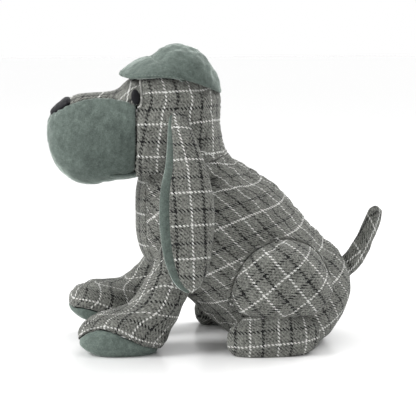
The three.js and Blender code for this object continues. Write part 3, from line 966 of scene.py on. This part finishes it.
def peak():
    """The padded front of the cap: it overhangs the brow, and meets the crown in a notch."""
    edge = cap_edge_line(-89.5, 3, 50.6)
    edge = even(edge[edge[:, 1] < TEMPLES], 56)
    s = np.linspace(0, 1, 56)
    x = 48.8 * np.sin(s * math.pi / 2) ** 0.85
    notch = np.stack([x, 23.5 * s**2 - 61.5, 259.6 - 16.5 * s**1.8], axis=1)
    notch[-4:] += (edge[-4:] - notch[-4:]) * np.linspace(0.4, 1, 4)[:, None]
    rows = [edge + (CAP_HEART - edge) * np.array([0.06, 0.06, 0.02]) - np.array([0, 0, 0.6])]
    for k in np.linspace(0, 1, 26):
        line = edge + (notch - edge) * k
        out = line - CAP_HEART
        out /= np.linalg.norm(out, axis=1, keepdims=True)
        bulge = 4.6 * math.sin(math.pi * k**0.85) ** 0.6 * (1 - s**3.5)
        rows.append(line + out * bulge[:, None])
    rows.append(notch + (CAP_HEART - notch) * 0.16)
    whole = both_sides(np.array(rows))
    whole = raised(whole, 0.6 * waves(whole, 26, 71))
    seam = raised(whole, 0.25)[5]
    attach(stitches("cap_peak_stitches", seam, "sage_velour", SAGE_THREAD), "head")
    cover("cap_peak_cover", whole, None, VELOUR, "sage_velour", "cap_brim", fill=0.5, body="head")


def band():
    """The rolled edge of the cap."""
    path = full_ring(cap_edge_line(-88.4, 1.3, 49.0), 73)
    out = path - path.mean(axis=0)
    out[:, 2] = 0
    out /= np.linalg.norm(out, axis=1, keepdims=True)
    turn = np.linspace(2 * math.pi, 0, 14, endpoint=False)
    sides = [path + 1.2 * math.cos(a) * out + np.array([0, 0, 1.5 + 2.2 * math.sin(a)]) for a in turn]
    grid = np.stack(sides, axis=1)
    grid = np.concatenate([grid, grid[:1]])
    piece = sheet_mesh("cap_band_cover", grid, None, VELOUR, closed=True)
    own(piece, "sage_velour", "cap_band", body="head")


crown()
peak()
band()


# ---- Ears ----
EAR_HINGE = np.array([46.4, -40.0, 214.0])
EAR_LEAN = math.radians(9.5)
EAR_OUTLINE = [  # below the hinge: [z, front, rear]
    [2, -5, 1], [-3, -9, 4.5], [-10, -11, 7], [-26, -12.5, 13], [-48, -15, 20.5], [-68, -19.5, 25],
    [-88, -21, 27], [-115, -19.5, 25], [-137, -14.5, 20.5], [-148, -9.5, 15.5], [-154, -4, 10.5],
    [-157, 1, 6],
]
LINING_SHOW = [[-157, 5.0], [-140, 6.5], [-90, 8.0], [-40, 5.5], [-10, 2.2], [2, 1.5]]
EAR_LENGTH = 157
EAR_CLOTH = 1.2


def ear_layer(out, puff, lining_shows=False):
    """One layer of the left ear, `out` from the ear's plane. The outside leaves a strip of lining bare."""
    heights = 2 - (EAR_LENGTH + 2) * (1 - np.cos(np.linspace(0, math.pi, 80))) / 2
    rows = []
    for z in heights[::-1]:
        front, rear = spline(EAR_OUTLINE[::-1], [z])[0]
        strip = min(float(spline(LINING_SHOW, [z])[0][0]), 0.4 * (rear - front)) if lining_shows else 0
        start = front + strip
        y = start + (rear - start) * np.linspace(0, 1, 30)
        inside = np.clip((y - front) / (rear - front), 0, 1)
        dome = np.clip(4 * inside * (1 - inside), 0, 1) ** 0.5
        sewn = 0.25 + 0.75 * smooth((4 - z) / 26)
        x = (out + puff * dome) * sewn - 1.2
        rows.append(np.stack([x, y, np.full(30, z)], axis=1))
    grid = np.array(rows)
    down = -grid[..., 2] / EAR_LENGTH
    grid[..., 0] += 1.2 * waves(grid, 70, 81) * smooth(down * 3)
    grid[..., 0] += 3.0 * np.sin(math.pi * np.clip(down, 0, 1))
    cos, sin = math.cos(EAR_LEAN), math.sin(EAR_LEAN)
    x = grid[..., 0] * cos - grid[..., 2] * sin
    z = grid[..., 0] * sin + grid[..., 2] * cos
    return np.stack([x, grid[..., 1], z], axis=2) + EAR_HINGE


def ears():
    outer = ear_layer(3.8, 7.5, lining_shows=True)
    outer_uv = cloth_uv(outer, row=40, column=15, turn=math.radians(2), shift=(5, 0))
    edge = ear_layer(3.2, 4.0)
    inner = ear_layer(2.6, -2.0)[:, ::-1]
    seam = raised(outer, 0.15)[4:-6, -5]
    layers = (
        ("tweed", "outside", outer, outer_uv, TWEED, "tweed"),
        ("lining_edge", "wadding", edge, cloth_uv(edge), VELOUR, "sage_velour"),
        ("lining", "lining", inner, cloth_uv(inner), VELOUR, "sage_velour"),
    )
    for side, sign in (("left", 1), ("right", -1)):
        pieces = []
        for label, node, grid, uv, material, slot in layers:
            if side == "right":
                grid, uv = right_of(grid, uv)
            name, stands_for = f"ear_{side}_{label}_cover", f"ear_{side}_{node}"
            pieces.append(cover(name, grid, uv, material, slot, stands_for, thickness=EAR_CLOTH, fill=0.4))
        line = seam * np.array([sign, 1, 1])
        pieces.append(stitches(f"ear_{side}_stitches", line, "tweed", GREY_THREAD, radius=0.25))
        for piece in pieces:
            blend_between(piece)


ears()


# ---- Forelegs ----
FORELEG = [
    [0, -119, -62, 19], [5, -127, -57, 22.5], [12, -130.5, -52.5, 24], [20, -129.5, -48.5, 24.5],
    [28, -124, -44.5, 24], [35, -112, -41.5, 23], [41, -93, -38.5, 22], [48, -83, -35, 21],
    [57, -76.5, -32.5, 20], [66, -71, -30, 19.5], [74, -66, -29, 19], [88, -60, -32, 17], [98, -54, -38, 9],
]
SOLE_EDGE = [
    [-140, 12], [-130, 17], [-118, 24.5], [-103, 23.5], [-86, 15], [-70, 7.5], [-50, 1.2], [-40, 1.0],
]
LEG_X = 38
LEG_POWER = 0.88
LEG_TOP = FORELEG[-1][0]
SHOULDER_RIGHT = np.array([-38.0, -46.0, 84.0])
RAISED = math.radians(-12)  # the right foreleg is lifted and stands further back
RAISED_BACK = np.array([0, 8, 0])


def leg_point(z, angle):
    """A point of the left foreleg, at the angle round from the front."""
    front, back, half = spline(FORELEG, [z])[0]
    y = (front + back) / 2 + (back - front) / 2 * fuller(-math.cos(angle), LEG_POWER)
    return np.array([LEG_X + half * fuller(math.sin(angle), LEG_POWER), y, z])


def seam_height(angle):
    """The sole's edge, which stands lower on the inside of the leg."""
    inside = 1 - 0.55 * float(smooth(0.5 - math.sin(angle)))
    z = 10.0
    for _ in range(6):
        z = inside * float(spline(SOLE_EDGE, [leg_point(z, angle)[1]])[0][0])
    return z


def foreleg_grids():
    """The sole with its underside, and the leg above it with its closed top."""
    angles = np.linspace(0, 2 * math.pi, 64, endpoint=False)
    seams = [seam_height(a) for a in angles]
    lower, upper = [], []
    for share in np.linspace(0, 1, 16):
        lower.append([leg_point(s * share, a) for a, s in zip(angles, seams)])
    for share in np.linspace(0, 1, 60):
        upper.append([leg_point(s + (LEG_TOP - s) * share, a) for a, s in zip(angles, seams)])
    lower, upper = np.array(lower), np.array(upper)
    middle = np.array([LEG_X, -92, 0.3])
    under = [middle + (lower[0] - middle) * k for k in (0.03, 0.3, 0.6, 0.85)]
    crest = upper[-1].mean(axis=0) + np.array([0, 0, 1.5])
    over = [crest + (upper[-1] - crest) * k for k in (0.5, 0.05)]
    return np.concatenate([under, lower]), np.concatenate([upper, over])


def forelegs():
    lower, upper = foreleg_grids()
    upper = raised(upper, 0.8 * waves(upper, 38, 91) * smooth(lengths(upper, 0) / 10), closed=True)
    lower = raised(lower, 0.4 * waves(lower, 25, 93), closed=True)
    upper = puffed(upper, closed=True, most=1.5)
    upper_uv = closed_uv(upper, 0, 16, math.radians(2))
    lower_uv = closed_uv(lower, 4, 16)
    upper = seam_roll(upper, closed=True, first=1.3, reach=2.0)
    lower = seam_roll(lower, closed=True, last=1.3, reach=2.0)
    lower[..., 2] = np.maximum(lower[..., 2], 0.2)
    for side in ("left", "right"):
        for label, grid, uv, material, slot, nodes in (
            ("tweed", upper, upper_uv, TWEED, "tweed", ("cover", "stuffing")),
            # the soles' velour is the lighter copy with painted light
            ("sole", lower, lower_uv, LIT_VELOUR, "sage_velour", ("sole",)),
        ):
            if side == "right":
                grid, uv = right_of(grid, uv)
                grid = turned(grid, SHOULDER_RIGHT, RAISED) + RAISED_BACK
            leg = f"foreleg_{side}"
            nodes = [f"{leg}_{node}" for node in nodes]
            cover(f"{leg}_{label}_cover", grid, uv, material, slot, *nodes, closed=True, fill=0.8, body=leg)


forelegs()


# ---- Thighs and hind feet ----
HIND_FOOT = [
    [0, 5, 70, 13], [6, 1, 76.5, 15.5], [12, -1, 80, 16.5], [20, 0.5, 80, 16.5],
    [26.5, 5.5, 76, 14.5], [32.5, 15, 68, 12], [38, 24, 60, 8],
]
FOOT_X = 63
RIGHT_FOOT_FORWARD = -12
THIGH_EDGE = [
    (1.7, 51.6), (3.8, 65.6), (11.7, 80.8), (23.5, 92.4), (35.7, 98), (48, 101.4), (61.2, 100),
    (74, 94), (85, 84), (92, 71), (94, 58), (89, 46), (80, 38), (66, 33.5), (50, 31.5), (34, 32),
    (20, 35), (10, 38.5), (4, 44),
]
THIGH_MIDDLE = (50, 66)


def closed_curve(points, count):
    """A smooth closed curve through points (Catmull-Rom), evenly spaced."""
    p1 = np.array(points, float)[:, None]
    p0, p2, p3 = [np.roll(p1, step, axis=0) for step in (1, -1, -2)]
    t = np.linspace(0, 1, 20, endpoint=False)[None, :, None]
    bend = (2 * p0 - 5 * p1 + 4 * p2 - p3) * t**2 + (3 * p1 - p0 - 3 * p2 + p3) * t**3
    curve = (0.5 * (2 * p1 + (p2 - p0) * t + bend)).reshape(-1, 2)
    return even(np.concatenate([curve, curve[:1]]), count + 1)[:-1]


def body_side(y, z):
    """How far out the body's side is at a place seen from the side."""
    front, back, half = spline(BODY, z).T
    along = np.clip((y - (front + back) / 2) / ((back - front) / 2), -0.999, 0.999)
    return half * (1 - np.abs(along) ** (2 / SIDE_POWER)) ** (SIDE_POWER / 2)


THIGH_TOP = 80.2
THIGH_FOOT = 6.5  # how far the padding stands off the body at the thigh's edge
THIGH_WEAVE = math.radians(40)
RIDGE_START = (12, 38)  # the lip of the seam runs from the thigh's lower front over its top


def ridge_share(count):
    """Points of the thigh's edge from the start of its lip, and how strong the lip is at each."""
    edge = closed_curve(THIGH_EDGE, count)
    start = int(np.argmin(np.hypot(edge[:, 0] - RIDGE_START[0], edge[:, 1] - RIDGE_START[1])))
    edge = np.roll(edge, -start, axis=0)
    share = np.arange(count) / count
    return edge, smooth(share / 0.04) * smooth((0.66 - share) / 0.1)


def thigh_grid():
    """A padded dome on the body's side: rows from its sewn edge to its middle, columns round it."""
    edge, lip = ridge_share(96)
    edge, lip = edge[::-1], lip[::-1]
    middle = np.array(THIGH_MIDDLE, float)
    foot = body_side(edge[:, 0], edge[:, 1])
    edge = middle + (edge - middle) * (1 - 0.055 * lip)[:, None]
    rows = []
    for share, out in ((0.86, -8.0), (0.93, -1.5), (0.965, 1.0), (0.99, 3.4)):
        rows.append(np.stack([foot + out, *(middle + (edge - middle) * share).T], axis=1))
    for share in np.linspace(1.0, 0.0, 28) ** 0.72:
        place = middle + (edge - middle) * max(share, 0.02)
        rise = (1 - min(share, 1.0) ** 2.8) ** 0.55
        start = foot + THIGH_FOOT
        rows.append(np.stack([start + (THIGH_TOP - start) * rise, place[:, 0], place[:, 1]], axis=1))
    return np.array(rows)


def thigh_ridge(side):
    """The sewn edge of the thigh: a rolled lip of cloth round its front and top."""
    edge, lip = ridge_share(160)
    line, lip = edge[:106], lip[:106]
    out = body_side(line[:, 0], line[:, 1]) + 1.6
    grid = tube(np.stack([out, line[:, 0], line[:, 1]], axis=1), 0.3 + 1.3 * lip, 12)
    grid = raised(grid, 0.25 * waves(grid, 9, 96), closed=True)
    uv = closed_uv(grid, 0, 0, math.radians(45))
    if side == "right":
        grid, uv = mirror_grid(grid)[:, ::-1], uv[:, ::-1]
    own(sheet_mesh(f"thigh_{side}_ridge", grid, uv, TWEED, closed=True), "tweed", body="torso")


def thigh_uv(grid):
    """The weave lies over the dome: each point by its way and its length along the cloth from the middle."""
    whole = np.concatenate([grid, grid[:, :1]], axis=1)
    run = lengths(whole, 0)
    way = whole[1:2, :, 1:] - np.array(THIGH_MIDDLE)
    way = way / np.linalg.norm(way, axis=2, keepdims=True)
    level = np.linalg.norm(whole[..., 1:] - np.array(THIGH_MIDDLE), axis=2)
    reach = 0.9 * (run[-1:] - run) + 0.1 * level
    u, v = np.moveaxis(reach[..., None] * way, 2, 0)
    cos, sin = math.cos(THIGH_WEAVE), math.sin(THIGH_WEAVE)
    return np.stack([u * cos + v * sin, v * cos - u * sin], axis=2)


def thighs():
    grid = thigh_grid()
    grid = puffed(raised(grid, 0.7 * waves(grid, 40, 95), closed=True), closed=True, most=1.2)
    uv = thigh_uv(grid)
    for side in ("left", "right"):
        piece = sheet_mesh(f"thigh_{side}_pad", grid, uv, TWEED, closed=True)
        own(piece, "tweed", f"thigh_{side}_cover", f"thigh_{side}_stuffing", fill=0.9, body="torso")
        thigh_ridge(side)
        grid, uv = mirror_grid(grid)[:, ::-1], uv[:, ::-1]


def hind_feet():
    heights = np.linspace(0.2, HIND_FOOT[-1][0], 40)
    grid = np.array([full_ring(line, 33) for line in half_slices(HIND_FOOT, heights)])
    low, high = grid[0].mean(axis=0), grid[-1].mean(axis=0) + np.array([0, 0, 1])
    under = [low + (grid[0] - low) * k for k in (0.03, 0.35, 0.7)]
    over = [high + (grid[-1] - high) * k for k in (0.6, 0.05)]
    grid = np.concatenate([under, grid, over])
    grid = puffed(raised(grid, 0.6 * waves(grid, 30, 97), closed=True), closed=True, most=1.2)
    grid[..., 2] = np.maximum(grid[..., 2], 0.2)
    uv = closed_uv(grid, 10, 16, math.radians(5))
    left = (grid + np.array([FOOT_X, 0, 0]), uv)
    right = right_of(grid + np.array([FOOT_X, RIGHT_FOOT_FORWARD, 0]), uv)
    for side, (placed, cloth) in (("left", left), ("right", right)):
        piece = sheet_mesh(f"hind_foot_{side}_pad", placed, cloth, TWEED, closed=True)
        own(piece, "tweed", f"hind_foot_{side}_cover", f"hind_foot_{side}_stuffing", fill=0.9, body="torso")


thighs()
hind_feet()


# ---- Tail ----
TAIL_PATH = [
    (0, 106, 57), (0, 116, 62), (0, 124.5, 69), (0, 133, 82), (0, 140.5, 98), (0, 146, 112),
    (0, 147.5, 120.5),
]
TAIL_RADIUS = [[0, 10.5], [0.3, 9.4], [0.6, 7.9], [0.85, 6.8], [0.95, 5.2], [1, 2.0]]


def tail():
    tip = 0.9 + 0.1 * np.sin(np.linspace(0.1, 1, 12) * math.pi / 2)
    share = np.concatenate([np.linspace(0, 0.9, 50), tip])
    places = np.linspace(0, 1, len(TAIL_PATH))
    center = spline([[place, *point] for place, point in zip(places, TAIL_PATH)], share)
    way = np.gradient(center, axis=0)
    way /= np.linalg.norm(way, axis=1, keepdims=True)
    up = np.cross(X_AXIS, way)[:, None]
    radius = spline(TAIL_RADIUS, share)[:, :, None]
    angle = np.linspace(2 * math.pi, 0, 36, endpoint=False)[:, None]
    grid = center[:, None] + radius * (np.cos(angle) * X_AXIS + np.sin(angle) * up)
    end = grid[-1].mean(axis=0) + 0.6 * way[-1]
    grid = np.concatenate([grid, [end + (grid[-1] - end) * k for k in (0.5, 0.03)]])
    grid = raised(grid, 0.5 * waves(grid, 22, 99), closed=True)
    piece = sheet_mesh("tail_pad", grid, closed_uv(grid, 0, 0), TWEED, closed=True)
    own(piece, "tweed", "tail_cover", "tail_stuffing", fill=0.9)
    blend_between(piece)


tail()


# ---- Neck thread ----
def neck_thread():
    """A loose white thread round the neck seam, which it leaves a little at the sides."""
    curve = bpy.data.curves.new("neck_thread_loop", "CURVE")
    curve.dimensions = "3D"
    curve.bevel_depth = 0.35 * MM
    line = curve.splines.new("POLY")
    line.points.add(119)
    for k, target in enumerate(line.points):
        angle = 2 * math.pi * k / len(line.points)
        x, y = 47.0 * math.sin(angle), -33.3 - 40.6 * math.cos(angle)
        slack = 12 * math.exp(-(((y + 26) / 15) ** 2))
        target.co = (x * MM, y * MM, (NECK[2] + (y - NECK[1]) * TILT + 0.3 + slack) * MM, 1)
    line.use_cyclic_u = True
    curve.materials.append(WHITE_THREAD)
    piece = bpy.data.objects.new("neck_thread_loop", curve)
    bpy.context.collection.objects.link(piece)
    own(piece, "white_thread", "neck_thread", "neck_stuffing", body="neck")


neck_thread()
